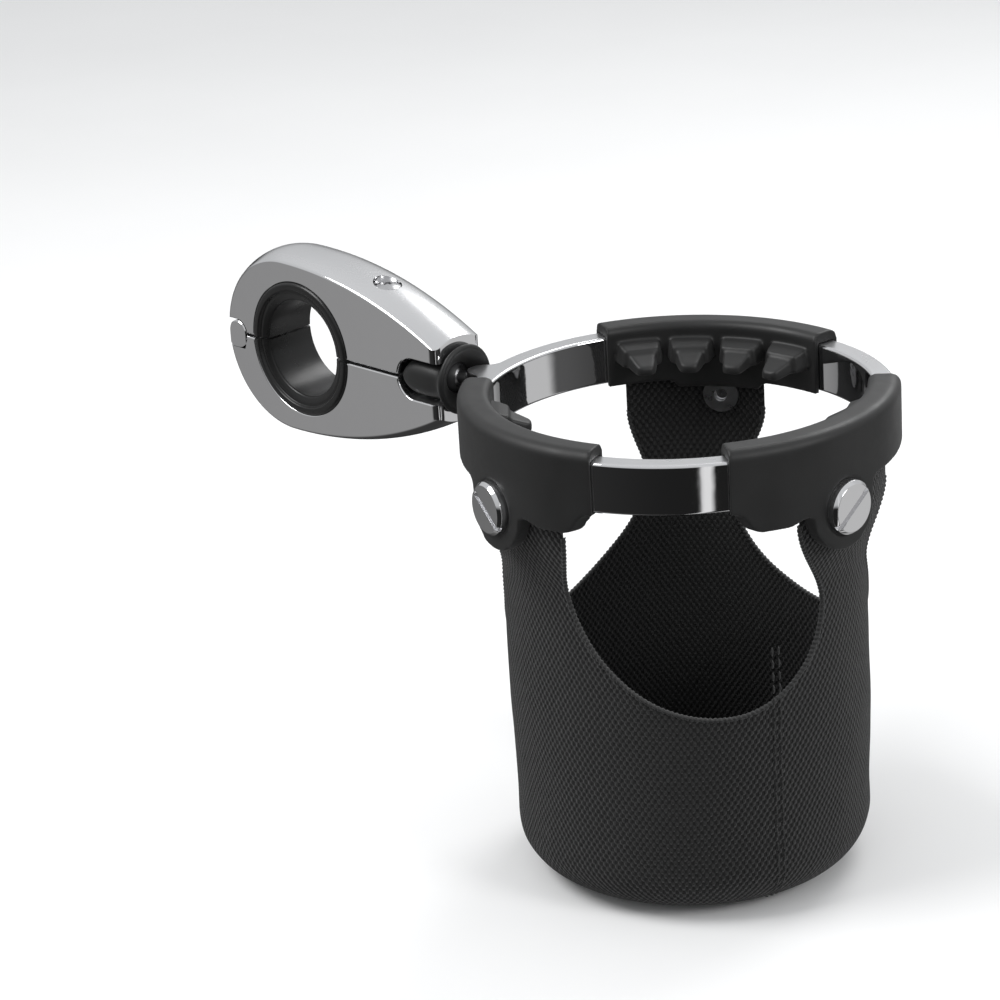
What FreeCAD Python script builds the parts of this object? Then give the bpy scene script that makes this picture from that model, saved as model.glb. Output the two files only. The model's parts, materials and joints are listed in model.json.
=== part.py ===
"""Handlebar drink holder: a hinged two-jaw bar clamp, a ball joint in a rubber boot, and a ring that
carries three rubber grips and a hanging woven basket.

Frame: the origin is the centre of the clamp's bore, +Y runs along the bar, +X points out of the clamp's
nose and +Z is up. Millimetres and degrees.
"""
import FreeCAD, Part
import os
import re

import Sketcher

Vector = FreeCAD.Vector

DIMENSIONS = [
    # lengths that run past the clamp and past every piece
    ("beyond", 80.0),
    ("through", 120.0),
    # bar clamp
    ("bar_radius", 12.7),
    ("liner_radius", 17.5),
    ("liner_length", 17.0),
    ("clamp_width", 16.0),
    ("crown_edge", 22.3),
    ("crown_peak", 24.55),
    ("crown_shift", 5.0),
    ("taper_radius", 115.0),
    ("nose_sweep", 36.0),
    ("nose_length", 50.0),
    ("nose_round", 2.0),
    ("split_gap", 0.7),
    ("slot_start", 36.0),
    ("slot_half", 5.3),
    ("hinge_offset", 24.1),
    ("knuckle_radius", 3.2),
    ("knuckle_gap", 0.3),
    ("tongue_width", 6.0),
    ("pin_radius", 1.5),
    ("pin_inset", 0.3),
    ("running_gap", 0.05),
    # clamp screw
    ("screw_place", 26.0),
    ("screw_radius", 1.57),
    ("screw_bore", 2.05),
    ("screw_reach", 8.0),
    ("screw_well", 12.0),
    ("screw_seat", 16.9),
    ("screw_head_radius", 3.3),
    ("screw_head_height", 2.6),
    ("screw_dome", 0.9),
    ("dome_radius", 6.5),
    ("cross_depth", 1.7),
    ("cross_half", 0.9),
    ("cross_width", 0.7),
    ("washer_height", 0.7),
    ("recess_radius", 3.6),
    # ball joint
    ("ball_place", 46.5),
    ("ball_radius", 3.2),
    ("seat_radius", 4.3),
    ("stud_radius", 1.6),
    ("stud_length", 14.0),
    ("mouth_angle", 53.0),
    ("stem_width", 15.4),
    ("stem_half", 5.0),
    ("stem_round", 2.6),
    ("flange_radius", 8.9),
    ("flange_back", 50.3),
    ("flange_front", 52.4),
    ("flange_edge", 0.6),
    # cup ring
    ("arm_length", 61.9),
    ("arm_yaw", 17.7),
    ("ring_top", 2.5),
    ("ring_inner", 46.5),
    ("ring_outer", 51.8),
    ("ring_height", 12.1),
    ("ring_round", 0.7),
    ("lug_width", 8.4),
    ("lug_thickness", 5.0),
    ("lug_clearance", 5.0),
    # rubber grips
    ("grip_half_angle", 38.5),
    ("rear_half_angle", 35.5),
    ("grip_shift", 4.5),
    ("grip_inner", 45.0),
    ("grip_outer", 52.95),
    ("grip_lip", 2.8),
    ("grip_back", 49.6),
    ("grip_fit", 0.05),
    ("grip_inner_round", 1.5),
    ("grip_outer_round", 1.8),
    ("grip_wall_depth", 14.5),
    ("skirt_depth", 12.6),
    ("shallow_depth", 17.8),
    ("lobe_radius", 10.0),
    ("lobe_centre", 17.3),
    ("fin_root", 12.0),
    ("fin_tip", 4.6),
    ("fin_reach", 35.2),
    ("fin_drop", 2.6),
    ("fin_thickness", 3.0),
    ("fin_pitch", 17.0),
    ("shallow_end", 24.5),
    ("shallow_run", 4.0),
    # basket fastenings
    ("tab_screw_depth", 17.0),
    ("tab_head_radius", 6.5),
    ("tab_head_height", 2.7),
    ("tab_head_seat", 52.2),
    ("tab_head_round", 0.5),
    ("tab_slot_width", 1.3),
    ("tab_slot_depth", 1.2),
    ("tab_slot_tilt", -35.0),
    ("tab_shank_radius", 1.7),
    ("tab_shank_length", 4.6),
    ("tab_sleeve_radius", 2.4),
    ("tab_flange_radius", 4.5),
    ("nut_back", 46.5),
    ("nut_length", 4.6),
    ("nut_flange", 1.15),
    ("eyelet_back", 47.7),
    ("eyelet_front", 49.4),
    ("eyelet_lip", 0.3),
    ("eyelet_wall", 0.4),
    ("eyelet_radius", 4.0),
    ("eyelet_fit", 0.1),
    # woven basket
    ("basket_radius", 44.0),
    ("cloth_thickness", 0.8),
    ("basket_depth", 119.5),
    ("basket_corner", 12.5),
    ("tab_radius", 49.0),
    ("tab_top", 12.4),
    ("flare_low", 38.0),
    ("flare_high", 24.0),
    ("tab_half_angle", 13.0),
    ("scoop_bottom", 67.0),
    ("scoop_wide_arc", 36.0),
    ("scoop_tight_arc", 24.0),
    ("scoop_lean", 5.0),
    ("scoop_shoulder", 21.0),
    ("scoop_tight_top", 31.0),
    # floor seam
    ("tape_start", 2.0),
    ("tape_end", 20.0),
    ("tape_thickness", 0.6),
]

# Angles about the ring's centre, measured from the line that runs from the ball through the centre.
TAB_ANGLES = {"left": -122.0, "right": -19.0, "rear": 102.0}
SHALLOW_LOBE_SIDE = {"left": 1, "right": -1, "rear": 0}
# Each scoop's own angle, and the tab on its tight side.
SCOOPS = {-60.0: "right", 56.0: "rear", 170.0: "left"}

doc = FreeCAD.newDocument("handlebar_drink_holder")
sheet = doc.addObject("Spreadsheet::Sheet", "dims")
for row, (alias, number) in enumerate(DIMENSIONS, start=1):
    sheet.set("A%d" % row, alias)
    sheet.set("B%d" % row, str(number))
    sheet.setAlias("B%d" % row, alias)
doc.recompute()

ALIAS = re.compile(r"\b(%s)\b" % "|".join(name for name, _ in DIMENSIONS))
CROWN_ARC = "(clamp_width^2/4 + (crown_peak - crown_edge)^2)/(2*(crown_peak - crown_edge))"
parts = []


def value(formula):
    """Number that a formula over the sheet's names gives now."""
    return float(sheet.evalExpression(str(formula)))


def bind(item, prop, formula):
    """Tie a property to a formula over the sheet's names."""
    item.setExpression(prop, ALIAS.sub(r"dims.\1", str(formula)))


def volume_of(body):
    doc.recompute()
    return body.Shape.Volume


# ---------------------------------------------------------------- bodies and sketches

def new_body(label):
    body = doc.addObject("PartDesign::Body", label)
    body.Label = label
    parts.append(body)
    return body


def place(item, x, y, z, turn):
    """Put an item at x, y, z, turned about +Z."""
    item.Placement = FreeCAD.Placement(Vector(value(x), value(y), value(z)),
                                       FreeCAD.Rotation(Vector(0, 0, 1), value(turn)))
    for axis, formula in zip("xyz", (x, y, z)):
        bind(item, "Placement.Base." + axis, formula)
    bind(item, "Placement.Rotation.Angle", turn)


def place_on_ring(item, turn=0.0):
    """Put an item in the ring's frame: its centre on the ring's top plane, +X away from the ball."""
    place(item, "ball_place + arm_length*cos(arm_yaw)", "arm_length*sin(arm_yaw)", "ring_top",
          "arm_yaw + %s" % turn)


def place_on_ball(item):
    """Put an item at the ball's centre with +X along the arm."""
    place(item, "ball_place", 0, 0, "arm_yaw")


def new_sketch(body, role, name, offset=0, turn=0):
    """Sketch on an origin plane, moved along its normal and turned about its own vertical axis."""
    sketch = body.newObject("Sketcher::SketchObject", "%s_%s" % (body.Name, name))
    plane = next(item for item in body.Origin.OriginFeatures if item.Role == role)
    sketch.AttachmentSupport = [(plane, "")]
    sketch.MapMode = "FlatFace"
    sketch.AttachmentOffset = FreeCAD.Placement(Vector(0, 0, value(offset)),
                                                FreeCAD.Rotation(Vector(0, 1, 0), turn))
    bind(sketch, "AttachmentOffset.Base.z", offset)
    return sketch


def fix_point(sketch, geometry, position, x, y):
    """Hold one point of a sketch at formulas x, y."""
    for kind, formula in (("DistanceX", x), ("DistanceY", y)):
        rule = sketch.addConstraint(Sketcher.Constraint(kind, -1, 1, geometry, position, value(formula)))
        bind(sketch, "Constraints[%d]" % rule, formula)


def fix_radius(sketch, geometry, formula):
    rule = sketch.addConstraint(Sketcher.Constraint("Radius", geometry, value(formula)))
    bind(sketch, "Constraints[%d]" % rule, formula)


def circle(sketch, x, y, radius):
    shape = Part.Circle(Vector(value(x), value(y), 0), Vector(0, 0, 1), value(radius))
    index = sketch.addGeometry(shape)
    fix_point(sketch, index, 3, x, y)
    fix_radius(sketch, index, radius)
    return sketch


def outline(sketch, points, arcs=None):
    """Closed outline. arcs names the sides that bend: side number -> (a point on it, radius)."""
    arcs = arcs or {}
    corners = [Vector(value(x), value(y), 0) for x, y in points]
    starts, ends = [], []
    for side, corner in enumerate(corners):
        following = corners[(side + 1) % len(corners)]
        if side in arcs:
            (x, y), _ = arcs[side]
            shape = Part.Arc(corner, Vector(value(x), value(y), 0), following)
        else:
            shape = Part.LineSegment(corner, following)
        index = sketch.addGeometry(shape)
        forward = sketch.getPoint(index, 1).distanceToPoint(corner) < 1e-6
        starts.append((index, 1 if forward else 2))
        ends.append((index, 2 if forward else 1))
    for side, (x, y) in enumerate(points):
        sketch.addConstraint(Sketcher.Constraint("Coincident", *ends[side - 1], *starts[side]))
        fix_point(sketch, *starts[side], x, y)
    for side, (_, radius) in arcs.items():
        fix_bend(sketch, starts[side][0], radius, points[side], points[(side + 1) % len(points)])
    return sketch


def fix_bend(sketch, index, radius, start, end):
    """Fix an arc between held ends: by its radius, or a half circle by its centre's free coordinate."""
    chord = Vector(*map(value, start), 0) - Vector(*map(value, end), 0)
    if chord.Length < 2*value(radius) - 1e-6:
        fix_radius(sketch, index, radius)
        return
    kind, formula = ("DistanceX", start[0]) if abs(chord.x) < abs(chord.y) else ("DistanceY", start[1])
    rule = sketch.addConstraint(Sketcher.Constraint(kind, -1, 1, index, 3, value(formula)))
    bind(sketch, "Constraints[%d]" % rule, formula)


def level_axis(sketch, level):
    """Level construction line of a sketch, as an axis to turn about."""
    height = value(level)
    index = sketch.addGeometry(Part.LineSegment(Vector(-5, height, 0), Vector(5, height, 0)), True)
    fix_point(sketch, index, 1, -5, level)
    fix_point(sketch, index, 2, 5, level)
    return "Axis0"


def rectangle(sketch, left, low, right, high):
    return outline(sketch, [(left, low), (right, low), (right, high), (left, high)])


# ---------------------------------------------------------------- features

def pad(body, sketch, name, length, side="One side", reverse=False):
    feature = body.newObject("PartDesign::Pad", "%s_%s" % (body.Name, name))
    feature.Profile = sketch
    feature.SideType = side
    feature.Reversed = reverse
    bind(feature, "Length", length)
    return feature


def pocket(body, sketch, name, length="through", side="One side", reverse=False):
    """Cut a sketch out of a body and make sure that it took material away."""
    before = volume_of(body)
    feature = body.newObject("PartDesign::Pocket", "%s_%s" % (body.Name, name))
    feature.Profile = sketch
    feature.SideType = side
    feature.Reversed = reverse
    bind(feature, "Length", length)
    if not volume_of(body) < before - 1e-4:
        raise RuntimeError("%s cuts nothing" % feature.Name)
    return feature


def revolve(body, sketch, name, axis="V_Axis", angle=360, second=None, reverse=False, cut=False):
    kind = "PartDesign::Groove" if cut else "PartDesign::Revolution"
    before = volume_of(body) if cut else 0
    feature = body.newObject(kind, "%s_%s" % (body.Name, name))
    feature.Profile = sketch
    feature.ReferenceAxis = (sketch, [axis])
    feature.Reversed = reverse
    bind(feature, "Angle", angle)
    if second is not None:
        feature.Type = "TwoAngles"
        bind(feature, "Angle2", second)
    if cut and not volume_of(body) < before - 1e-4:
        raise RuntimeError("%s cuts nothing" % feature.Name)
    return feature


def fillet(body, name, radius, wanted):
    """Round the edges of a body's last feature that wanted(edge) picks."""
    doc.recompute()
    base = body.Tip
    names = ["Edge%d" % (number + 1) for number, edge in enumerate(base.Shape.Edges) if wanted(edge)]
    if not names:
        raise RuntimeError("%s rounds nothing" % name)
    feature = body.newObject("PartDesign::Fillet", "%s_%s" % (body.Name, name))
    feature.Base = (base, names)
    bind(feature, "Radius", radius)
    return feature


def is_upright(edge):
    ends = [vertex.Point for vertex in edge.Vertexes]
    return len(ends) == 2 and (ends[0] - ends[1]).cross(Vector(0, 0, 1)).Length < 1e-6


# ---------------------------------------------------------------- bar clamp

def crowned_jaw(body, up):
    """Half of the teardrop: a quarter round off centre behind the bore and a long arc down to the nose."""
    profile = new_sketch(body, "YZ_Plane", "crown", "-crown_shift")
    outline(profile,
            [("-clamp_width/2", 0), ("clamp_width/2", 0),
             ("clamp_width/2", "%d*crown_edge" % up), ("-clamp_width/2", "%d*crown_edge" % up)],
            {2: ((0, "%d*crown_peak" % up), CROWN_ARC)})
    pivot = level_axis(profile, "%d*(crown_edge - taper_radius)" % up)
    revolve(body, profile, "back", axis="H_Axis", angle=90, reverse=up > 0)
    revolve(body, profile, "nose", axis=pivot, angle="nose_sweep", reverse=up < 0)


def knuckle(sketch, up):
    """Hinge barrel with a web that joins it to its jaw."""
    web = "%d*(knuckle_radius + knuckle_gap)" % up
    inner, outer = "knuckle_radius - hinge_offset", "-knuckle_radius - hinge_offset"
    return outline(sketch, [(outer, 0), (inner, 0), (inner, web), (outer, web)],
                   {0: (("-hinge_offset", "%d*knuckle_radius" % -up), "knuckle_radius")})


def jaw(label, up):
    """One jaw; up is 1 for the upper and -1 for the lower."""
    body = new_body(label)
    crowned_jaw(body, up)
    split = rectangle(new_sketch(body, "XZ_Plane", "split"),
                      "-beyond", "%d*split_gap/2" % up, "beyond", "-%d*beyond" % up)
    pocket(body, split, "split_cut", side="Symmetric")
    tip = rectangle(new_sketch(body, "XZ_Plane", "tip"), "nose_length", "-beyond", "beyond", "beyond")
    pocket(body, tip, "tip_cut", side="Symmetric")
    fillet(body, "tip_corners", "nose_round",
           lambda edge: is_upright(edge) and abs(edge.CenterOfMass.x - value("nose_length")) < 0.01)
    bore = circle(new_sketch(body, "XZ_Plane", "bore"), 0, 0, "liner_radius")
    pocket(body, bore, "bore_cut", side="Symmetric")
    slot = new_sketch(body, "XZ_Plane", "slot")
    outline(slot,
            [("slot_start + slot_half", "-slot_half"), ("beyond", "-slot_half"),
             ("beyond", "slot_half"), ("slot_start + slot_half", "slot_half")],
            {3: (("slot_start", 0), "slot_half")})
    pocket(body, slot, "slot_cut", side="Symmetric")
    hinge_barrels(body, up)
    screw_passage(body, up)
    return body


def hinge_barrels(body, up):
    """The upper jaw has one middle tongue and the lower jaw has a barrel on each side of it."""
    clear = new_sketch(body, "XZ_Plane", "clear")
    room = "(knuckle_radius + knuckle_gap)"
    outline(clear,
            [("-beyond", "-" + room), ("-hinge_offset", "-" + room), ("-hinge_offset", room), ("-beyond", room)],
            {1: ((room + " - hinge_offset", 0), room)})
    pocket(body, clear, "clear_cut", side="Symmetric")
    barrel = knuckle(new_sketch(body, "XZ_Plane", "barrel"), up)
    if up > 0:
        pad(body, barrel, "tongue", "tongue_width", "Symmetric")
    else:
        pad(body, barrel, "ears", "clamp_width", "Symmetric")
        pocket(body, clear, "ear_gap", "tongue_width + 2*knuckle_gap", "Symmetric")
    bore = "pin_radius" if up > 0 else "pin_radius + running_gap"
    hole = circle(new_sketch(body, "XZ_Plane", "pin_hole"), "-hinge_offset", 0, bore)
    pocket(body, hole, "pin_cut", side="Symmetric")


def screw_passage(body, up):
    """A stepped hole through the upper jaw and a blind hole in the lower one."""
    hole = circle(new_sketch(body, "XY_Plane", "screw_hole"), "screw_place", 0, "screw_bore")
    if up > 0:
        pocket(body, hole, "screw_cut", reverse=True)
        seat = circle(new_sketch(body, "XY_Plane", "recess", "screw_seat"), "screw_place", 0, "recess_radius")
        pocket(body, seat, "recess_cut", reverse=True)
    else:
        pocket(body, hole, "screw_cut", "screw_well")


def liner(label, up):
    """Half of the rubber sleeve between the bar and the jaws."""
    body = new_body(label)
    edge = "%d*split_gap/2" % up
    inner = "sqrt(bar_radius^2 - split_gap^2/4)"
    outer = "sqrt(liner_radius^2 - split_gap^2/4)"
    profile = new_sketch(body, "XZ_Plane", "half_ring")
    outline(profile, [(inner, edge), (outer, edge), ("-" + outer, edge), ("-" + inner, edge)],
            {1: ((0, "%d*liner_radius" % up), "liner_radius"), 3: ((0, "%d*bar_radius" % up), "bar_radius")})
    pad(body, profile, "sleeve", "liner_length", "Symmetric")


def hinge_pin():
    body = new_body("hinge_pin")
    profile = circle(new_sketch(body, "XZ_Plane", "section"), "-hinge_offset", 0, "pin_radius")
    pad(body, profile, "pin", "clamp_width - 2*pin_inset", "Symmetric")


def clamp_screw():
    """Pan-head machine screw with a cross recess."""
    body = new_body("clamp_screw")
    place(body, "screw_place", 0, "screw_seat + washer_height", 0)
    tip = "-screw_seat - washer_height - screw_reach"
    profile = new_sketch(body, "XZ_Plane", "half_section")
    dome = "screw_head_height - screw_dome"
    outline(profile,
            [(0, tip), ("screw_radius", tip), ("screw_radius", 0), ("screw_head_radius", 0),
             ("screw_head_radius", dome), (0, "screw_head_height")],
            {4: (("screw_head_radius*0.55", "screw_head_height - screw_dome*0.29"), "dome_radius")})
    revolve(body, profile, "turned")
    for number, turn in enumerate((0, 90)):
        sketch = new_sketch(body, "XZ_Plane", "cross_%d" % number, 0, turn)
        low, high = "screw_head_height - cross_depth", "screw_head_height + cross_depth"
        outline(sketch, [("-cross_half", low), ("cross_half", low),
                         ("2*cross_half", high), ("-2*cross_half", high)])
        pocket(body, sketch, "cross_cut_%d" % number, "cross_width", "Symmetric")


def lock_washer():
    body = new_body("lock_washer")
    place(body, "screw_place", 0, "screw_seat", 0)
    sketch = new_sketch(body, "XY_Plane", "ring")
    circle(sketch, 0, 0, "screw_head_radius")
    circle(sketch, 0, 0, "screw_bore")
    pad(body, sketch, "washer", "washer_height")


# ---------------------------------------------------------------- ball joint

def socket_boot():
    """Rubber stem in the clamp's slot with a flared flange and a funnel mouth for the arm."""
    body = new_body("socket_boot")
    stem = new_sketch(body, "XZ_Plane", "stem")
    start = "slot_start + slot_half"
    end = "flange_back + flange_edge"
    outline(stem, [(start, "-stem_half"), (end, "-stem_half"), (end, "stem_half"), (start, "stem_half")],
            {3: ((start + " - stem_half", 0), "stem_half")})
    pad(body, stem, "stem_pad", "stem_width", "Symmetric")
    fillet(body, "stem_sides", "stem_round",
           lambda edge: abs(abs(edge.CenterOfMass.y) - value("stem_width/2")) < 0.01
           and edge.CenterOfMass.x < value("flange_back"))
    flange = new_sketch(body, "XZ_Plane", "flange")
    outline(flange, [("flange_back", 0), ("flange_front", 0), ("flange_front", "flange_radius - flange_edge"),
                     ("flange_front - flange_edge", "flange_radius"),
                     ("flange_back + 1.5*flange_edge", "flange_radius"),
                     ("flange_back", "flange_radius - 3*flange_edge")])
    revolve(body, flange, "flange_disc", axis="H_Axis")
    ball_cavity(body)


def ball_cavity(body):
    """Round pocket for the ball seat, opening into a cone towards the arm."""
    cavity = "(seat_radius + running_gap)"
    rim = "ball_place + %s*cos(mouth_angle)" % cavity
    high = "%s*sin(mouth_angle)" % cavity
    front = "flange_front + 1"
    sketch = new_sketch(body, "XZ_Plane", "cavity")
    outline(sketch, [("ball_place - " + cavity, 0), (front, 0),
                     (front, "(%s - ball_place)*tan(mouth_angle)" % front), (rim, high)],
            {3: (("ball_place", cavity), cavity)})
    revolve(body, sketch, "cavity_cut", axis="H_Axis", cut=True)


def ball_seat():
    """Snap-in plastic shell round the ball, open towards the arm."""
    body = new_body("ball_seat")
    place_on_ball(body)
    inner = "(ball_radius + running_gap)"
    edge = "sin(45)"
    middle_x, middle_y = "cos(112)", "sin(112)"
    profile = new_sketch(body, "XZ_Plane", "half_section")
    outline(profile,
            [("%s*%s" % (inner, edge), "%s*%s" % (inner, edge)),
             ("seat_radius*" + edge, "seat_radius*" + edge), ("-seat_radius", 0), ("-" + inner, 0)],
            {1: (("seat_radius*" + middle_x, "seat_radius*" + middle_y), "seat_radius"),
             3: (("%s*%s" % (inner, middle_x), "%s*%s" % (inner, middle_y)), inner)})
    revolve(body, profile, "shell", axis="H_Axis")


def ball_stud():
    """Steel ball on a shank that screws into the ring's lug."""
    body = new_body("ball_stud")
    place_on_ball(body)
    neck = "sqrt(ball_radius^2 - stud_radius^2)"
    profile = new_sketch(body, "XZ_Plane", "half_section")
    outline(profile,
            [("-ball_radius", 0), ("stud_length", 0), ("stud_length", "stud_radius"), (neck, "stud_radius")],
            {3: ((0, "ball_radius"), "ball_radius")})
    revolve(body, profile, "turned", axis="H_Axis")


# ---------------------------------------------------------------- cup ring

def cup_ring():
    """Flat band with a short round-ended lug that takes the ball stud."""
    body = new_body("cup_ring")
    place_on_ring(body)
    band = rectangle(new_sketch(body, "XZ_Plane", "band"), "ring_inner", "-ring_height", "ring_outer", 0)
    revolve(body, band, "band_turned")
    fillet(body, "band_edges", "ring_round", lambda edge: isinstance(edge.Curve, Part.Circle))
    lug = new_sketch(body, "XY_Plane", "lug")
    tip = "(arm_length - lug_clearance)"
    root = "1.5 - ring_outer"
    start = "lug_width/2 - " + tip
    outline(lug,
            [(root, "-lug_width/2"), (root, "lug_width/2"), (start, "lug_width/2"), (start, "-lug_width/2")],
            {2: (("-" + tip, 0), "lug_width/2")})
    pad(body, lug, "lug_pad", "lug_thickness", reverse=True)
    bore = circle(new_sketch(body, "YZ_Plane", "stud_hole", "stud_length - arm_length"),
                  0, "-lug_thickness/2", "stud_radius + running_gap")
    pocket(body, bore, "stud_cut", "stud_length")


# ---------------------------------------------------------------- rubber grips

def saddle(body, side):
    """Lip over the ring with an inner wall and a deep outer skirt, turned through the grip's angle."""
    sketch = new_sketch(body, "XZ_Plane", "saddle")
    wall, back = "ring_inner - grip_fit", "ring_outer + grip_fit"
    depth, ledge = "-lobe_centre - 1.05*lobe_radius", "-ring_height - 8*grip_fit"
    outline(sketch,
            [("grip_inner", "-grip_wall_depth"), ("grip_inner", "grip_lip - grip_inner_round"),
             ("grip_inner + grip_inner_round", "grip_lip"), ("grip_outer - grip_outer_round", "grip_lip"),
             ("grip_outer", "grip_lip - grip_outer_round"), ("grip_outer", depth), ("grip_back", depth),
             ("grip_back", ledge), (back, ledge), (back, "grip_fit"),
             (wall, "grip_fit"), (wall, "-grip_wall_depth")],
            {1: (("grip_inner + grip_inner_round*0.293", "grip_lip - grip_inner_round*0.293"),
                 "grip_inner_round"),
             3: (("grip_outer - grip_outer_round*0.293", "grip_lip - grip_outer_round*0.293"),
                 "grip_outer_round")})
    lead = SHALLOW_LOBE_SIDE[side]
    half = "grip_half_angle" if lead else "rear_half_angle"
    revolve(body, sketch, "saddle_turned", angle="%s - %d*grip_shift" % (half, lead),
            second="%s + %d*grip_shift" % (half, lead))


def trim_skirt(body, side):
    """Cut the skirt back to a deep round lobe and, on the side of the front gap, a shallow one."""
    lead = SHALLOW_LOBE_SIDE[side] or 1
    reach = "sqrt(lobe_radius^2 - (lobe_centre - skirt_depth)^2)"
    wide = "%d*beyond" % lead
    points = [("-" + wide, "-skirt_depth"), ("-%d*%s" % (lead, reach), "-skirt_depth")]
    if SHALLOW_LOBE_SIDE[side]:
        shallow = "sqrt(lobe_radius^2 - (lobe_centre - shallow_depth)^2)"
        points += [("%d*%s" % (lead, shallow), "-shallow_depth"),
                   ("%d*shallow_end" % lead, "-shallow_depth"),
                   ("%d*(shallow_end + shallow_run)" % lead, "-skirt_depth"), (wide, "-skirt_depth")]
    else:
        points += [(reach, "-skirt_depth"), (wide, "-skirt_depth")]
    points += [(wide, "-beyond"), ("-" + wide, "-beyond")]
    sketch = new_sketch(body, "YZ_Plane", "trim")
    outline(sketch, points, {1: ((0, "-lobe_centre - lobe_radius"), "lobe_radius")})
    pocket(body, sketch, "trim_cut", reverse=True)


def add_fins(body, side):
    """Four flexible tabs that reach in from the inner wall."""
    first = "(-%d*grip_shift - 1.5*fin_pitch)" % SHALLOW_LOBE_SIDE[side]
    sketch = new_sketch(body, "XY_Plane", "fin", "-fin_drop")

    def corner(radius, across):
        return ("({r})*cos({a}) - ({w})*sin({a})".format(r=radius, w=across, a=first),
                "({r})*sin({a}) + ({w})*cos({a})".format(r=radius, w=across, a=first))

    root = "grip_inner + 8*grip_fit"
    outline(sketch, [corner(root, "-fin_root/2"), corner(root, "fin_root/2"),
                     corner("fin_reach", "fin_tip/2"), corner("fin_reach", "-fin_tip/2")])
    fin = pad(body, sketch, "fin_pad", "fin_thickness", reverse=True)
    pattern = body.newObject("PartDesign::PolarPattern", body.Name + "_fins")
    pattern.Originals = [fin]
    pattern.Axis = (sketch, ["N_Axis"])
    pattern.Occurrences = 4
    bind(pattern, "Angle", "3*fin_pitch")
    body.Tip = pattern


def grip(side):
    """Rubber grip whose deep lobe takes one of the basket's screws."""
    body = new_body("grip_" + side)
    place_on_ring(body, TAB_ANGLES[side])
    saddle(body, side)
    trim_skirt(body, side)
    seat = circle(new_sketch(body, "YZ_Plane", "seat", "tab_head_seat"),
                  0, "-tab_screw_depth", "1.1*tab_head_radius")
    pocket(body, seat, "seat_cut", reverse=True)
    hole = circle(new_sketch(body, "YZ_Plane", "hole", "grip_back - 1"),
                  0, "-tab_screw_depth", "tab_sleeve_radius + running_gap")
    pocket(body, hole, "hole_cut", reverse=True)
    add_fins(body, side)


# ---------------------------------------------------------------- basket fastenings

def primitive(kind, name, **sizes):
    item = doc.addObject(kind, name)
    for prop, formula in sizes.items():
        bind(item, prop, formula)
    return item


def cylinder_along_x(name, radius, start, length, level):
    """Cylinder on a radial line of the ring, from start outwards."""
    item = primitive("Part::Cylinder", name, Radius=radius, Height=length)
    item.Placement = FreeCAD.Placement(Vector(value(start), 0, value(level)),
                                       FreeCAD.Rotation(Vector(0, 1, 0), 90))
    bind(item, "Placement.Base.x", start)
    bind(item, "Placement.Base.z", level)
    return item


def combine(kind, name, base, tool):
    item = doc.addObject(kind, name)
    item.Base, item.Tool = base, tool
    return item


def tab_screw(side):
    """Large flat head with one slot on a short shank."""
    head = cylinder_along_x("screw_head_" + side, "tab_head_radius", "tab_head_seat",
                            "tab_head_height", "-tab_screw_depth")
    rounded = doc.addObject("Part::Fillet", "screw_rim_" + side)
    rounded.Base = head
    doc.recompute()
    outer = max(range(len(head.Shape.Edges)), key=lambda number: head.Shape.Edges[number].CenterOfMass.x)
    rounded.Edges = [(outer + 1, value("tab_head_round"), value("tab_head_round"))]
    shank = cylinder_along_x("screw_shank_" + side, "tab_shank_radius", "tab_head_seat - tab_shank_length",
                             "tab_shank_length + tab_head_height/2", "-tab_screw_depth")
    blank = combine("Part::Fuse", "screw_blank_" + side, rounded, shank)
    slot = primitive("Part::Box", "screw_slot_" + side, Length="2*tab_slot_depth",
                     Width="2.4*tab_head_radius", Height="tab_slot_width")
    tilt = FreeCAD.Rotation(Vector(1, 0, 0), value("tab_slot_tilt") * (SHALLOW_LOBE_SIDE[side] or 1))
    floor = Vector(value("tab_head_seat + tab_head_height - tab_slot_depth"), 0, value("-tab_screw_depth"))
    corner = Vector(0, value("-1.2*tab_head_radius"), value("-tab_slot_width/2"))
    slot.Placement = FreeCAD.Placement(floor, tilt).multiply(FreeCAD.Placement(corner, FreeCAD.Rotation()))
    return combine("Part::Cut", "tab_screw_" + side, blank, slot)


def barrel_nut(side):
    """Flanged sleeve behind the tab that the screw threads into."""
    level = "-tab_screw_depth"
    sleeve = cylinder_along_x("nut_sleeve_" + side, "tab_sleeve_radius", "nut_back", "nut_length", level)
    flange = cylinder_along_x("nut_flange_" + side, "tab_flange_radius", "nut_back", "nut_flange", level)
    blank = combine("Part::Fuse", "nut_blank_" + side, sleeve, flange)
    bore = cylinder_along_x("nut_bore_" + side, "tab_shank_radius + running_gap/2", "nut_back - nut_flange",
                            "nut_length + 2*nut_flange", level)
    return combine("Part::Cut", "barrel_nut_" + side, blank, bore)


def tab_eyelet(side):
    """Pressed eyelet with a thin flange on each side of the tab."""
    level, inner = "-tab_screw_depth", "tab_sleeve_radius + eyelet_fit"
    length = "eyelet_front - eyelet_back"
    tube = cylinder_along_x("eyelet_tube_" + side, inner + " + eyelet_wall", "eyelet_back", length, level)
    rear = cylinder_along_x("eyelet_rear_" + side, "eyelet_radius", "eyelet_back", "eyelet_lip", level)
    front = cylinder_along_x("eyelet_lip_" + side, "eyelet_radius", "eyelet_front - eyelet_lip",
                             "eyelet_lip", level)
    flanges = combine("Part::Fuse", "eyelet_flanges_" + side, rear, front)
    blank = combine("Part::Fuse", "eyelet_blank_" + side, tube, flanges)
    bore = cylinder_along_x("eyelet_bore_" + side, inner, "eyelet_back - 1", "eyelet_front - eyelet_back + 2",
                            level)
    return combine("Part::Cut", "tab_eyelet_" + side, blank, bore)


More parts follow.
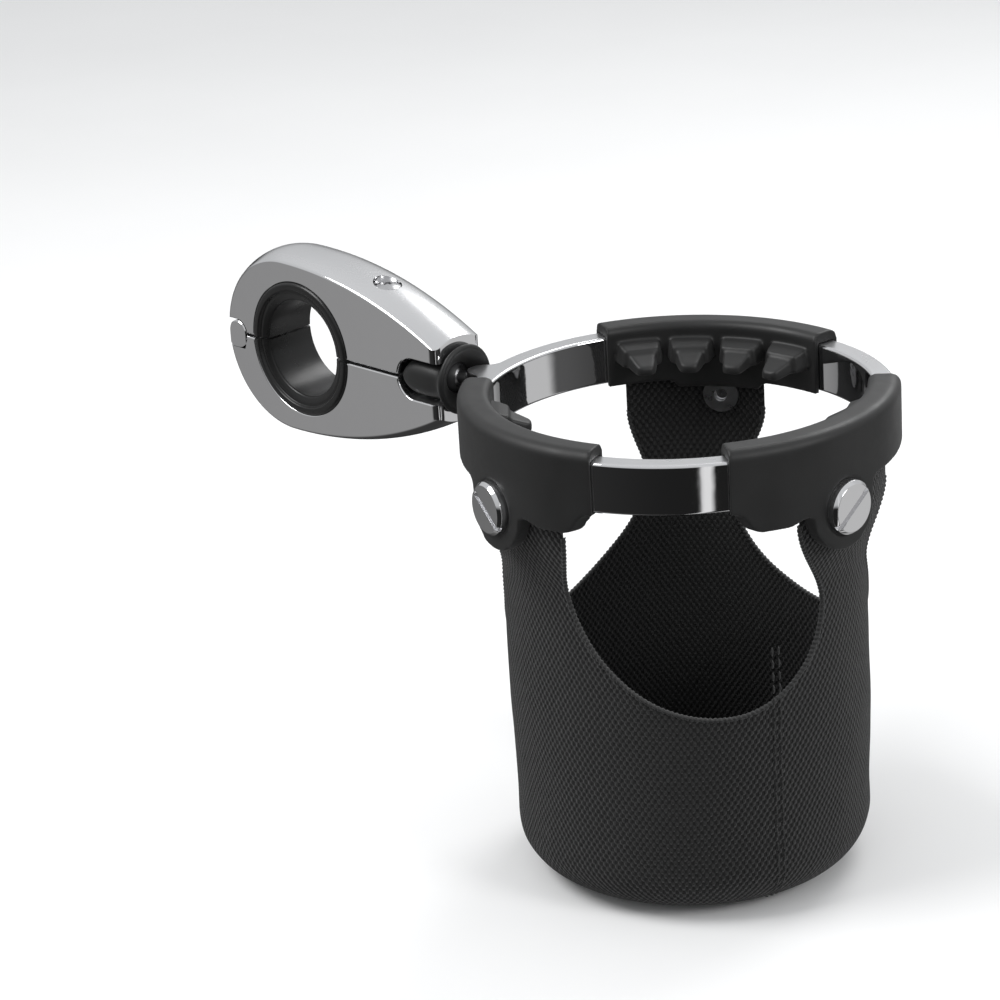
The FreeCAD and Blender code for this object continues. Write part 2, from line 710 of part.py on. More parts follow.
def fastener_group(label, maker):
    """The same fastener at each of the three tabs, as one node of separate solids."""
    items = []
    for side, angle in TAB_ANGLES.items():
        item = maker(side)
        place_on_ring(item, angle)
        items.append(item)
    group = doc.addObject("Part::Compound", label)
    group.Label = label
    group.Links = items
    parts.append(group)


# ---------------------------------------------------------------- woven basket

def basket_shell(body):
    """Cloth wall from the floor seam up to the tabs, where it flares out under the grips."""
    inner = "(basket_radius - cloth_thickness)"
    floor_edge = "(basket_radius - basket_corner)"
    tab_inner, tab_outer = "tab_radius - cloth_thickness", "tab_radius"
    turn = "basket_corner - basket_depth"
    diagonal = "*0.7071"
    sketch = new_sketch(body, "XZ_Plane", "wall")
    outline(sketch,
            [(floor_edge, "-basket_depth"), ("basket_radius", turn), ("basket_radius", "-flare_low"),
             (tab_outer, "-flare_high"), (tab_outer, "-tab_top"), (tab_inner, "-tab_top"),
             (tab_inner, "-flare_high - cloth_thickness/4"), (inner, "-flare_low - cloth_thickness/4"),
             (inner, turn), (floor_edge, "cloth_thickness - basket_depth")],
            {0: ((floor_edge + " + basket_corner" + diagonal, "%s - basket_corner%s" % (turn, diagonal)),
                 "basket_corner"),
             8: ((floor_edge + " + (basket_corner - cloth_thickness)" + diagonal,
                  "%s - (basket_corner - cloth_thickness)%s" % (turn, diagonal)),
                 "basket_corner - cloth_thickness")})
    revolve(body, sketch, "wall_turned")


def cut_scoop(body, number, centre, right):
    """Open U between two tabs: a wide arc on one side, a tight one that flares to its tab on the other."""
    turn_right = (TAB_ANGLES[right] - centre + 180) % 360 - 180
    right_top = "tab_radius*sin(%s - tab_half_angle)" % turn_right
    wide, tight = "scoop_lean - scoop_wide_arc", "scoop_lean + scoop_tight_arc"
    sketch = new_sketch(body, "YZ_Plane", "scoop_%d" % number, 0, centre)
    outline(sketch,
            [(wide, 0), (wide, "scoop_wide_arc - scoop_bottom"),
             ("scoop_lean", "-scoop_bottom"), (tight, "scoop_tight_arc - scoop_bottom"),
             (tight, "-scoop_tight_top"), (right_top, "-scoop_shoulder"), (right_top, 0)],
            {1: (("scoop_lean - scoop_wide_arc*0.7071", "scoop_wide_arc*0.2929 - scoop_bottom"),
                 "scoop_wide_arc"),
             2: (("scoop_lean + scoop_tight_arc*0.7071", "scoop_tight_arc*0.2929 - scoop_bottom"),
                 "scoop_tight_arc")})
    pocket(body, sketch, "scoop_cut_%d" % number, reverse=True)


def basket_wall():
    body = new_body("basket_wall")
    place_on_ring(body)
    basket_shell(body)
    for number, (centre, right) in enumerate(SCOOPS.items()):
        cut_scoop(body, number, centre, right)
    for side, angle in TAB_ANGLES.items():
        hole = circle(new_sketch(body, "YZ_Plane", "eyelet_hole_" + side, 0, angle),
                      0, "-tab_screw_depth", "tab_sleeve_radius + eyelet_fit + eyelet_wall + running_gap")
        pocket(body, hole, "eyelet_cut_" + side, reverse=True)


def basket_floor():
    body = new_body("basket_floor")
    place_on_ring(body)
    disc = new_sketch(body, "XY_Plane", "disc", "-basket_depth")
    circle(disc, 0, 0, "basket_radius - basket_corner - running_gap")
    pad(body, disc, "sheet", "cloth_thickness")


def floor_tape():
    """Binding beside the floor's seam, inside the rounded bottom of the wall."""
    body = new_body("floor_tape")
    place_on_ring(body)
    outer = "(basket_corner - cloth_thickness - running_gap)"
    inner = "(basket_corner - cloth_thickness - running_gap - tape_thickness)"
    middle = "(tape_start/2 + tape_end/2)"

    def on_corner(radius, angle):
        return ("basket_radius - basket_corner + %s*sin(%s)" % (radius, angle),
                "basket_corner - basket_depth - %s*cos(%s)" % (radius, angle))

    sketch = new_sketch(body, "XZ_Plane", "band")
    outline(sketch,
            [on_corner(outer, "tape_start"), on_corner(outer, "tape_end"),
             on_corner(inner, "tape_end"), on_corner(inner, "tape_start")],
            {0: (on_corner(outer, middle), outer), 2: (on_corner(inner, middle), inner)})
    revolve(body, sketch, "band_turned")


# ---------------------------------------------------------------- assembly

jaw("upper_jaw", 1)
jaw("lower_jaw", -1)
liner("upper_liner", 1)
liner("lower_liner", -1)
hinge_pin()
clamp_screw()
lock_washer()
socket_boot()
ball_seat()
ball_stud()
cup_ring()
for grip_side in TAB_ANGLES:
    grip(grip_side)
fastener_group("basket_screws", tab_screw)
fastener_group("barrel_nuts", barrel_nut)
fastener_group("tab_eyelets", tab_eyelet)
basket_wall()
basket_floor()
floor_tape()
doc.recompute()

failed = [item.Name for item in doc.Objects if "Invalid" in item.State or "Error" in item.State]
if failed:
    raise RuntimeError("failed objects: %s" % ", ".join(failed))
for part in parts:
    if part.Shape.isNull() or not part.Shape.isValid():
        raise RuntimeError("%s has no valid shape" % part.Label)

os.makedirs("parts", exist_ok=True)
for part in parts:
    part.Shape.exportStep("parts/%s.step" % part.Label)
    print("%-14s %2d solid(s) %10.1f mm3" % (part.Label, len(part.Shape.Solids), part.Shape.Volume))
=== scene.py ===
"""Looks of the handlebar drink holder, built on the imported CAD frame.

The scene is in metres. Outlines below are in millimetres, in the clamp's frame (origin in the bore, +Y along
the bar, +X out of the nose) or in the ring's frame (origin on the ring's top plane, +X away from the ball).
"""
import json
import math

import bmesh
import bpy
import numpy as np
from mathutils import Matrix, Vector, noise


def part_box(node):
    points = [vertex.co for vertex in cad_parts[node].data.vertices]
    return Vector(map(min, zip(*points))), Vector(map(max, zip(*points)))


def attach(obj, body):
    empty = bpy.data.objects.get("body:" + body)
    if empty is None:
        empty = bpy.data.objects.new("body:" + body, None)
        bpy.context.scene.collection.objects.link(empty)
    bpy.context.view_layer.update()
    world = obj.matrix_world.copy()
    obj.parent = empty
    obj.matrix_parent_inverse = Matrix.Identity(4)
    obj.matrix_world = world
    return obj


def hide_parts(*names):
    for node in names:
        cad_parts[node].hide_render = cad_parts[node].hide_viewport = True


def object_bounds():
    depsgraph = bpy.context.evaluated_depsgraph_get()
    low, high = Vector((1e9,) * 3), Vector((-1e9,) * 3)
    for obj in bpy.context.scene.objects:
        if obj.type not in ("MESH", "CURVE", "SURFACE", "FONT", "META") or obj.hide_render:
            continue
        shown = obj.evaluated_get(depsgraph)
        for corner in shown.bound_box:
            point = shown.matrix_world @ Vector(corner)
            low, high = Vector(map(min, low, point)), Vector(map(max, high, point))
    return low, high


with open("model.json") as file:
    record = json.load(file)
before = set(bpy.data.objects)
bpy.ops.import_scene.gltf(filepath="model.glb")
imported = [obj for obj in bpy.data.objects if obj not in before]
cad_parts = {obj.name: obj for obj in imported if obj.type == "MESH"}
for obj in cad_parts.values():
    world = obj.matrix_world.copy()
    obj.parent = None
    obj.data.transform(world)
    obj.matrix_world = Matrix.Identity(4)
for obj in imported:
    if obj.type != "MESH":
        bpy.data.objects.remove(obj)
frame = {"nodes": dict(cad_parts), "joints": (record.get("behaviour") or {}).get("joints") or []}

MM = 0.001
CAD_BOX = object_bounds()
SCENE = bpy.context.scene
JOINTS = {joint["name"]: joint for joint in frame["joints"]}

# ---------------------------------------------------------------- places, from the frame

BALL = Vector(JOINTS["arm_yaw"]["pos_m"])
ARM = Vector(JOINTS["arm_roll"]["axis"])
FLOOR_LOW, FLOOR_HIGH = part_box("basket_floor")
RING_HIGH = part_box("cup_ring")[1]
RING = Vector(((FLOOR_LOW.x + FLOOR_HIGH.x)/2, (FLOOR_LOW.y + FLOOR_HIGH.y)/2, RING_HIGH.z))
ARM_YAW = math.atan2(ARM.y, ARM.x)
ARM_LENGTH = (RING.xy - BALL.xy).length/MM
TO_CLAMP = Matrix.Scale(MM, 4)
TO_RING = Matrix.Translation(RING) @ Matrix.Rotation(ARM_YAW, 4, "Z") @ Matrix.Scale(MM, 4)

# Sizes in millimetres.
CLAMP_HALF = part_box("upper_jaw")[1].y/MM
CROWN_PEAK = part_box("upper_jaw")[1].z/MM
CROWN_RISE, CROWN_SHIFT = 2.25, 5.0
CROWN_EDGE = CROWN_PEAK - CROWN_RISE
TAPER_RADIUS = 115.0
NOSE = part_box("upper_jaw")[1].x/MM
NOSE_ROUND = 2.0
SPLIT = 0.35
LINER = 17.5
BAR = 12.7
SLOT_START, SLOT_HALF = 36.0, 5.3
HINGE = Vector(JOINTS["jaw_hinge"]["pos_m"]).x/MM
KNUCKLE, KNUCKLE_GAP, TONGUE_HALF = 3.2, 0.3, 3.0
SCREW_PLACE, SCREW_SEAT, RECESS = 26.0, 16.9, 3.6

RING_INNER, RING_OUTER, RING_HEIGHT = 46.5, 51.8, 12.1
LUG_HALF, LUG_THICK, LUG_FILLET = 4.2, 5.0, 3.4
LUG_TIP = ARM_LENGTH - 5.0

TABS = {"left": -122.0, "right": -19.0, "rear": 102.0}
FRONT_SIDE = {"left": 1, "right": -1, "rear": 0}
GRIP_HALF = {"left": 38.5, "right": 38.5, "rear": 35.5}
GRIP_SHIFT = 4.5
TAB_SCREW_DEPTH = 17.0
SCREW_HEAD = 6.5
SCREW_FACE_SEAT = 52.2

BASKET, CLOTH, CORNER = 44.0, 0.8, 12.5
DEPTH = (RING.z - FLOOR_LOW.z)/MM
TAB_RADIUS, TAB_TOP, TAB_HALF = 49.0, 12.4, 13.0
FLARE_LOW, FLARE_HIGH = 38.0, 24.0
SCOOPS = {-60.0: "right", 56.0: "rear", 170.0: "left"}
SCOOP_BOTTOM, SCOOP_WIDE, SCOOP_TIGHT, SCOOP_LEAN = 67.0, 36.0, 24.0, 5.0
WEAVE_ACROSS = 172


# ---------------------------------------------------------------- camera, light and floor

def aim_camera():
    """Long lens, looking down at the clamp's front left, with the horizon tipped a little."""
    azimuth, elevation, roll = math.radians(46.1), math.radians(20.6), math.radians(-3.4)
    left_of_ring, below_ring, distance = 0.0425, 0.0260, 0.835
    forward = Vector((-math.sin(azimuth)*math.cos(elevation), math.cos(azimuth)*math.cos(elevation),
                      -math.sin(elevation)))
    level = Vector((math.cos(azimuth), math.sin(azimuth), 0))
    upright = level.cross(forward)
    right = level*math.cos(roll) + upright*math.sin(roll)
    up = upright*math.cos(roll) - level*math.sin(roll)
    data = bpy.data.cameras.new("camera")
    data.lens, data.sensor_width = 126, 36
    data.clip_end = 20
    camera = bpy.data.objects.new("camera", data)
    camera.matrix_world = Matrix((right, up, -forward)).transposed().to_4x4()
    camera.location = RING - right*left_of_ring - up*below_ring - forward*distance
    SCENE.collection.objects.link(camera)
    SCENE.camera = camera


def area_light(name, toward, distance, size, power):
    """Soft box that shines at the object from the direction toward."""
    data = bpy.data.lights.new(name, "AREA")
    data.shape = "DISK"
    data.size, data.energy = size, power
    lamp = bpy.data.objects.new(name, data)
    direction = Vector(toward).normalized()
    lamp.location = RING + direction*distance
    lamp.rotation_euler = direction.to_track_quat("Z", "Y").to_euler()
    SCENE.collection.objects.link(lamp)


def node(tree, kind, inputs=None, **settings):
    """New shader node. inputs gives values or sockets by name or number; settings are its own properties."""
    made = tree.nodes.new("ShaderNode" + kind)
    for name, setting in settings.items():
        setattr(made, name, setting)
    for name, given in (inputs or {}).items():
        if isinstance(given, bpy.types.NodeSocket):
            tree.links.new(given, made.inputs[name])
        else:
            made.inputs[name].default_value = given
    return made


def ramp(tree, value, stops):
    """Grey levels along a value from 0 to 1, blended smoothly between stops."""
    made = node(tree, "ValToRGB", {0: value})
    made.color_ramp.interpolation = "EASE"
    elements = made.color_ramp.elements
    for place, grey in stops[2:]:
        elements.new(place)
    for element, (place, grey) in zip(elements, sorted(stops)):
        element.position = place
        element.color = (grey, grey, grey, 1)
    return made.outputs["Color"]


def math_node(tree, operation, first, second=0.0):
    """Result of a Math node on one or two values."""
    return node(tree, "Math", {0: first, 1: second}, operation=operation).outputs[0]


def light_studio():
    """Pale backdrop to the eye. Reflections see a bright ceiling and dark walls with a few soft strips."""
    world = bpy.data.worlds.new("studio")
    SCENE.world = world
    world.use_nodes = True
    tree = world.node_tree
    tree.nodes.clear()
    way = node(tree, "SeparateXYZ", {0: node(tree, "TexCoord").outputs["Generated"]})
    height = math_node(tree, "MULTIPLY_ADD", way.outputs["Z"], 0.5)
    height.node.inputs[2].default_value = 0.5
    turn = math_node(tree, "ARCTAN2", way.outputs["Y"], way.outputs["X"])
    turn = math_node(tree, "MULTIPLY_ADD", turn, 0.5/math.pi)
    turn.node.inputs[2].default_value = 0.5
    ceiling = ramp(tree, height, [(0.0, 0.0), (1.0, 1.0), (0.48, 0.0), (0.62, 0.8)])
    walls = ramp(tree, turn, [(0.0, 0.12), (1.0, 0.12), (0.10, 0.30), (0.125, 0.34), (0.18, 0.03),
                              (0.375, 0.015), (0.393, 0.015), (0.400, 0.9), (0.411, 0.9),
                              (0.418, 0.015), (0.452, 0.015),
                              (0.459, 0.85), (0.472, 0.85), (0.485, 0.06), (0.585, 0.10), (0.61, 0.6),
                              (0.66, 0.6), (0.70, 0.05), (0.80, 0.45), (0.88, 0.04)])
    mixed = node(tree, "MixRGB", {0: ceiling, 1: walls, 2: (0.72, 0.73, 0.74, 1)})
    seen = node(tree, "LightPath").outputs["Is Camera Ray"]
    shown = node(tree, "MixRGB", {0: seen, 1: mixed.outputs[0], 2: (0.93, 0.93, 0.935, 1)})
    background = node(tree, "Background", {0: shown.outputs[0], 1: 0.95})
    output = node(tree, "OutputWorld")
    tree.links.new(background.outputs[0], output.inputs[0])
    area_light("key", (-0.55, -0.75, 1.0), 0.9, 0.5, 5.0)
    area_light("fill", (1.0, 0.1, 0.5), 0.9, 0.35, 2.5)
    area_light("rim", (-0.2, 1.0, 0.9), 0.9, 0.5, 3.0)


def lay_floor():
    """Plain pale floor just under the basket."""
    half = 3.0
    mesh = bpy.data.meshes.new("floor")
    mesh.from_pydata([(x, y, 0) for x, y in ((-half, -half), (half, -half), (half, half), (-half, half))],
                     [], [(0, 1, 2, 3)])
    floor = bpy.data.objects.new("floor", mesh)
    floor.location = (RING.x, RING.y, CAD_BOX[0].z - 0.001)
    floor.visible_glossy = False
    SCENE.collection.objects.link(floor)
    surface = bpy.data.materials.new("floor")
    surface.use_nodes = True
    tree = surface.node_tree
    shader = tree.nodes["Principled BSDF"]
    speck = node(tree, "TexNoise", {"Scale": 40.0, "Detail": 3.0})
    tree.links.new(ramp(tree, speck.outputs[0], [(0.0, 0.86), (1.0, 0.9)]), shader.inputs["Base Color"])
    shader.inputs["Roughness"].default_value = 0.9
    mesh.materials.append(surface)


# ---------------------------------------------------------------- materials

def new_material(name, colour, metallic, roughness):
    """New material, with its node tree and its Principled shader."""
    item = bpy.data.materials.new(name)
    item.use_nodes = True
    shader = item.node_tree.nodes["Principled BSDF"]
    shader.inputs["Base Color"].default_value = (*colour, 1)
    shader.inputs["Metallic"].default_value = metallic
    shader.inputs["Roughness"].default_value = roughness
    return item, item.node_tree, shader


def blotches(tree, scale, detail=3.0, where="Object"):
    """Cloudy noise in the object's own space."""
    coordinates = node(tree, "TexCoord").outputs[where]
    return node(tree, "TexNoise", {"Vector": coordinates, "Scale": scale, "Detail": detail}).outputs[0]


def between(tree, value, low, high):
    """Noise from 0.3 to 0.7 stretched to run from low to high."""
    made = node(tree, "MapRange", {"Value": value, "From Min": 0.3, "From Max": 0.7,
                                   "To Min": low, "To Max": high})
    return made.outputs[0]


def add_bump(tree, shader, height, strength, distance):
    """Feed a height to the shader's normal."""
    made = node(tree, "Bump", {"Height": height, "Strength": strength, "Distance": distance})
    tree.links.new(made.outputs[0], shader.inputs["Normal"])


def chrome():
    """Bright plating with a faint ripple, haze and hair scratches, and a satin finish on upward faces."""
    item, tree, shader = new_material("chrome", (0.80, 0.80, 0.81), 1.0, 0.06)
    haze = between(tree, blotches(tree, 70.0), 0.025, 0.06)
    where = node(tree, "Mapping", {"Vector": node(tree, "TexCoord").outputs["Object"],
                                   "Scale": (900.0, 90.0, 900.0), "Rotation": (0.5, 0.3, 0.7)})
    hairs = node(tree, "TexNoise", {"Vector": where.outputs[0], "Scale": 4.0, "Detail": 2.0}).outputs[0]
    scratched = node(tree, "MapRange", {"Value": hairs, "From Min": 0.66, "From Max": 0.74, "To Max": 0.05})
    up = node(tree, "SeparateXYZ", {0: node(tree, "TexCoord").outputs["Normal"]}).outputs["Z"]
    satin = node(tree, "MapRange", {"Value": up, "From Min": 0.7, "From Max": 0.95, "To Max": 0.24},
                 interpolation_type="SMOOTHSTEP").outputs[0]
    roughness = math_node(tree, "ADD", haze, scratched.outputs[0])
    tree.links.new(math_node(tree, "ADD", roughness, satin), shader.inputs["Roughness"])
    add_bump(tree, shader, blotches(tree, 160.0, 2.0), 0.05, 0.0004)
    return item


def steel():
    """Plain zinc-plated steel with turning marks."""
    item, tree, shader = new_material("steel", (0.56, 0.56, 0.57), 1.0, 0.3)
    tree.links.new(between(tree, blotches(tree, 300.0), 0.22, 0.40), shader.inputs["Roughness"])
    add_bump(tree, shader, blotches(tree, 1500.0), 0.15, 0.0001)
    return item


def rubber(name, dark, low, high):
    """Moulded rubber: soft sheen, fine grain, slightly uneven tone, roughness between low and high."""
    item, tree, shader = new_material(name, (0.012, 0.0115, 0.012), 0.0, 0.5)
    tone = ramp(tree, blotches(tree, 45.0), [(0.3, dark), (0.7, dark*1.4)])
    tree.links.new(tone, shader.inputs["Base Color"])
    tree.links.new(between(tree, blotches(tree, 120.0), low, high), shader.inputs["Roughness"])
    shader.inputs["Specular IOR Level"].default_value = 0.42
    shader.inputs["Sheen Weight"].default_value = 0.06
    add_bump(tree, shader, blotches(tree, 3200.0, 2.0), 0.16, 0.00012)
    return item


def nylon():
    """Black moulded bearing plastic."""
    item, tree, shader = new_material("nylon", (0.02, 0.02, 0.021), 0.0, 0.42)
    tree.links.new(between(tree, blotches(tree, 200.0), 0.36, 0.5), shader.inputs["Roughness"])
    return item


def woven(name, tone, pitch_u, pitch_v, relief):
    """Coarse plain weave of thick yarn: a bump for each place where a yarn comes to the front. The colour has
    painted highlight on the yarn tops and painted shade in the gaps between them, over real uneven fibre
    tone.
    """
    item, tree, shader = new_material(name, (tone, tone, tone), 0.0, 0.72)
    uv = node(tree, "SeparateXYZ", {0: node(tree, "TexCoord").outputs["UV"]})
    wobble = math_node(tree, "MULTIPLY", blotches(tree, 0.35, 2.0, "UV"), 1.2)
    across = math_node(tree, "COSINE", math_node(tree, "ADD", wobble, math_node(
        tree, "MULTIPLY", uv.outputs["X"], 2*math.pi/pitch_u)))
    along = math_node(tree, "COSINE", math_node(tree, "ADD", wobble, math_node(
        tree, "MULTIPLY", uv.outputs["Y"], 2*math.pi/pitch_v)))
    crossing = math_node(tree, "MULTIPLY", across, along)
    knuckle = node(tree, "MapRange", {"Value": crossing, "From Min": -0.55, "From Max": 0.8},
                   interpolation_type="SMOOTHSTEP").outputs[0]
    fibres = node(tree, "TexNoise", {"Vector": node(tree, "Mapping", {
        "Vector": node(tree, "TexCoord").outputs["UV"], "Scale": (9.0, 3.0, 1.0)}).outputs[0], "Scale": 1.4,
        "Detail": 3.0}).outputs[0]
    height = math_node(tree, "ADD", knuckle, math_node(tree, "MULTIPLY", fibres, 0.35))
    add_bump(tree, shader, height, 1.0, relief*MM)
    # Painted light: the yarn tops are painted up to 3.6 times the tone as painted highlight, and the gaps
    # between yarns down to a fifth of it as painted shade; the fibre noise is real uneven tone.
    painted_yarn_light = math_node(tree, "MULTIPLY", knuckle, math_node(tree, "ADD", fibres, 0.35))
    colour = ramp(tree, painted_yarn_light, [(0.0, tone*0.2), (1.0, tone*3.6), (0.45, tone)])
    tree.links.new(colour, shader.inputs["Base Color"])
    tree.links.new(between(tree, fibres, 0.62, 0.85), shader.inputs["Roughness"])
    shader.inputs["Sheen Weight"].default_value = 0.12
    shader.inputs["Sheen Roughness"].default_value = 0.4
    return item


def thread():
    """Twisted polyester sewing thread."""
    item, tree, shader = new_material("thread", (0.02, 0.02, 0.021), 0.0, 0.6)
    tone = ramp(tree, blotches(tree, 1400.0), [(0.3, 0.004), (0.7, 0.012)])
    tree.links.new(tone, shader.inputs["Base Color"])
    add_bump(tree, shader, blotches(tree, 5000.0), 0.6, 0.0001)
    shader.inputs["Sheen Weight"].default_value = 0.2
    return item


# ---------------------------------------------------------------- mesh helpers

def quads(rows, columns, wrap_rows=False, wrap_columns=False):
    """Faces of a grid of points that are numbered row by row."""
    index = np.arange(rows*columns).reshape(rows, columns)
    if wrap_rows:
        index = np.vstack([index, index[:1]])
    if wrap_columns:
        index = np.hstack([index, index[:, :1]])
    corners = (index[:-1, :-1], index[:-1, 1:], index[1:, 1:], index[1:, :-1])
    return np.stack([corner.ravel() for corner in corners], axis=1).tolist()


def joined(*shells):
    """One list of points and one of faces from several (points, faces)."""
    points, faces = [], []
    for more_points, more_faces in shells:
        first = len(points)
        points += [tuple(point) for point in more_points]
        faces += [[first + number for number in face] for face in more_faces]
    return points, faces


def swept(rows, ends=True):
    """Skin over closed rows of points, with a flat face on the first and the last row."""
    count, size = len(rows), len(rows[0])
    faces = quads(count, size, wrap_columns=True)
    if ends:
        faces.append(list(range(size)))
        faces.append([(count - 1)*size + number for number in range(size)])
    return [point for row in rows for point in row], faces


def arc(centre, radius, start, end, step=6.0, count=None):
    """Points on a circle from one angle to another, in degrees: about step apart, or count of them."""
    count = count or max(2, math.ceil(abs(end - start)/step))
    angles = [math.radians(start + (end - start)*number/count) for number in range(count + 1)]
    return [(centre[0] + radius*math.cos(angle), centre[1] + radius*math.sin(angle)) for angle in angles]


def rounded(corners, step=12.0):
    """Closed outline of (x, y, radius) corners, with each corner turned into an arc of that radius."""
    points = []
    for number, (x, y, radius) in enumerate(corners):
        corner = Vector((x, y))
        before = (Vector(corners[number - 1][:2]) - corner).normalized()
        after = (Vector(corners[(number + 1) % len(corners)][:2]) - corner).normalized()
        turn = math.pi - before.angle(after)
        if radius == 0 or turn < 0.01:
            points.append((x, y))
            continue
        start = corner + before*radius*math.tan(turn/2)
        end = corner + after*radius*math.tan(turn/2)
        centre = corner + (before + after).normalized()*radius/math.cos(turn/2)
        first = math.degrees(math.atan2(*(start - centre).yx))
        last = math.degrees(math.atan2(*(end - centre).yx))
        last = first + (last - first + 180) % 360 - 180
        points += arc(centre, radius, first, last, step)
    return points


def turned(profile, angles):
    """Closed (radius, height) profile turned about Z through a list of angles in degrees."""
    rows = []
    for angle in angles:
        cosine, sine = math.cos(math.radians(angle)), math.sin(math.radians(angle))
        rows.append([(radius*cosine, radius*sine, height) for radius, height in profile])
    return rows


def spread(first, last, step):
    """Evenly spaced numbers from first to last, about step apart."""
    return np.linspace(first, last, max(2, math.ceil(abs(last - first)/step) + 1)).tolist()


def evenly(first, last, count):
    """Count steps from first to last, without first."""
    return np.linspace(first, last, count + 1).tolist()[1:]


def make_mesh(name, shell):
    """Mesh from a shell's points and faces."""
    points, faces = shell
    mesh = bpy.data.meshes.new(name)
    mesh.from_pydata(points, [], faces)
    work = bmesh.new()
    work.from_mesh(mesh)
    bmesh.ops.recalc_face_normals(work, faces=work.faces)
    work.to_mesh(mesh)
    work.free()
    return mesh


def helper(name, mesh):
    """Scratch object that is removed again after use."""
    item = bpy.data.objects.new(name, mesh)
    SCENE.collection.objects.link(item)
    return item


def with_modifiers(mesh, *modifiers):
    """Copy of a mesh with modifiers applied, each (kind, settings). A mesh among them becomes a tool."""
    base = helper("base", mesh)
    tools = []
    for kind, settings in modifiers:
        modifier = base.modifiers.new(kind, kind)
        for name, setting in settings.items():
            if isinstance(setting, bpy.types.Mesh):
                tools.append(helper("tool", setting))
                setting = tools[-1]
            setattr(modifier, name, setting)
    bpy.context.view_layer.update()
    made = bpy.data.meshes.new_from_object(base.evaluated_get(bpy.context.evaluated_depsgraph_get()))
    for item in [base, *tools]:
        bpy.data.objects.remove(item)
    return made


def cut(tool, operation="DIFFERENCE"):
    """Boolean modifier for with_modifiers."""
    return "BOOLEAN", {"object": tool, "operation": operation, "solver": "EXACT"}


def piece(name, mesh, place, body, nodes, slot, material, sharp=40.0):
    """Finished object that rides on a body and stands for CAD nodes."""
    mesh.name = name
    mesh.transform(place)
    mesh.polygons.foreach_set("use_smooth", [True]*len(mesh.polygons))
    mesh.set_sharp_from_angle(angle=math.radians(sharp))
    mesh.materials.clear()
    mesh.materials.append(material)
    item = bpy.data.objects.new(name, mesh)
    SCENE.collection.objects.link(item)
    if slot == "chrome":
        flats = item.modifiers.new("flat faces", "WEIGHTED_NORMAL")
        flats.weight, flats.keep_sharp = 70, True
    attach(item, body)
    if nodes:
        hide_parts(*nodes)
    return item


def paint(name, material):
    """Give a CAD node this material in place of its own."""
    data = frame["nodes"][name].data
    data.materials.clear()
    data.materials.append(material)


# ---------------------------------------------------------------- bar clamp

def crown(across):
    """Height of the crown above its edge at a place across the clamp."""
    radius = (CLAMP_HALF**2 + CROWN_RISE**2)/(2*CROWN_RISE)
    return math.sqrt(max(radius**2 - across**2, 0)) - radius + CROWN_RISE


def jaw_outline(across):
    """Upper jaw's outline in X and Z at a place across the clamp, from hinge over crown to bore."""
    rise = crown(min(abs(across), CLAMP_HALF))
    inset = max(0.0, abs(across) - (CLAMP_HALF - NOSE_ROUND))
    tip = NOSE - NOSE_ROUND + math.sqrt(max(NOSE_ROUND**2 - inset**2, 0))
    back, clear = CROWN_EDGE + rise, KNUCKLE + KNUCKLE_GAP
    over = arc((-CROWN_SHIFT, 0), back, 180 - math.degrees(math.asin(clear/back)), 90, count=54)
    taper = TAPER_RADIUS + rise
    for x in evenly(-CROWN_SHIFT, tip, 54):
        over.append((x, CROWN_EDGE - TAPER_RADIUS + math.sqrt(taper**2 - (x + CROWN_SHIFT)**2)))
    top = over[-1][1]
    face = [(tip, z) for z in evenly(top, SLOT_HALF, 5)]
    slot_centre = SLOT_START + SLOT_HALF
    slot = [(x, SLOT_HALF) for x in evenly(tip, slot_centre, 10)]
    slot += arc((slot_centre, 0), SLOT_HALF, 90, 180 - math.degrees(math.asin(SPLIT/SLOT_HALF)))[1:]
    bore_end = math.degrees(math.asin(SPLIT/LINER))
    bore = [(x, SPLIT) for x in spread(slot[-1][0], LINER*math.cos(math.radians(bore_end)), 2.0)[1:-1]]
    bore += arc((0, 0), LINER, bore_end, 180 - bore_end, 2.0)
    back_cut = arc((HINGE, 0), clear, math.degrees(math.asin(SPLIT/clear)), 90, 8.0)
    back_cut += [(x, clear) for x in evenly(HINGE, over[0][0], 4)[:-1]]
    return over + face + slot + bore + back_cut


def shrunk(outline, inset):
    """Outline moved inwards by inset along its own normals."""
    points = np.array(outline)
    along = np.roll(points, -1, 0) - np.roll(points, 1, 0)
    along /= np.linalg.norm(along, axis=1)[:, None] + 1e-12
    inward = np.stack([along[:, 1], -along[:, 0]], axis=1)
    return points + inward*inset


def jaw_mesh(name, up):
    """One jaw with its hinge barrels; up is 1 for the upper and -1 for the lower."""
    low = [(-CLAMP_HALF + 0.45*(1 - math.cos(turn)), 0.45*(1 - math.sin(turn)))
           for turn in (math.pi/8*number for number in range(5))]
    middle = [(across, 0.0) for across in spread(-CLAMP_HALF + 0.45, CLAMP_HALF - 0.45, 0.55)[1:-1]]
    high = [(-across, inset) for across, inset in reversed(low)]
    rows = []
    for across, inset in low + middle + high:
        outline = shrunk(jaw_outline(across), inset)
        rows.append([(x, across, up*z) for x, z in outline])
    shells = [swept(rows)]
    web = KNUCKLE + KNUCKLE_GAP + 0.8
    profile = [(HINGE + KNUCKLE*0.8, web), (HINGE + KNUCKLE, KNUCKLE), (HINGE + KNUCKLE, 0)]
    profile += arc((HINGE, 0), KNUCKLE, 0, -180, 12.0)[1:]
    profile += [(HINGE - KNUCKLE, KNUCKLE), (HINGE - KNUCKLE*0.62, web)]
    ear = TONGUE_HALF + KNUCKLE_GAP
    spans = [(-TONGUE_HALF, TONGUE_HALF)] if up > 0 else [(-CLAMP_HALF, -ear), (ear, CLAMP_HALF)]
    for start, end in spans:
        barrel = []
        for across, inset in ((start, 0.25), (start + 0.25, 0), (end - 0.25, 0), (end, 0.25)):
            barrel.append([(x, across, up*z) for x, z in shrunk(profile[::-1], -inset)])
        shells.append(swept(barrel))
    return make_mesh(name, joined(*shells))


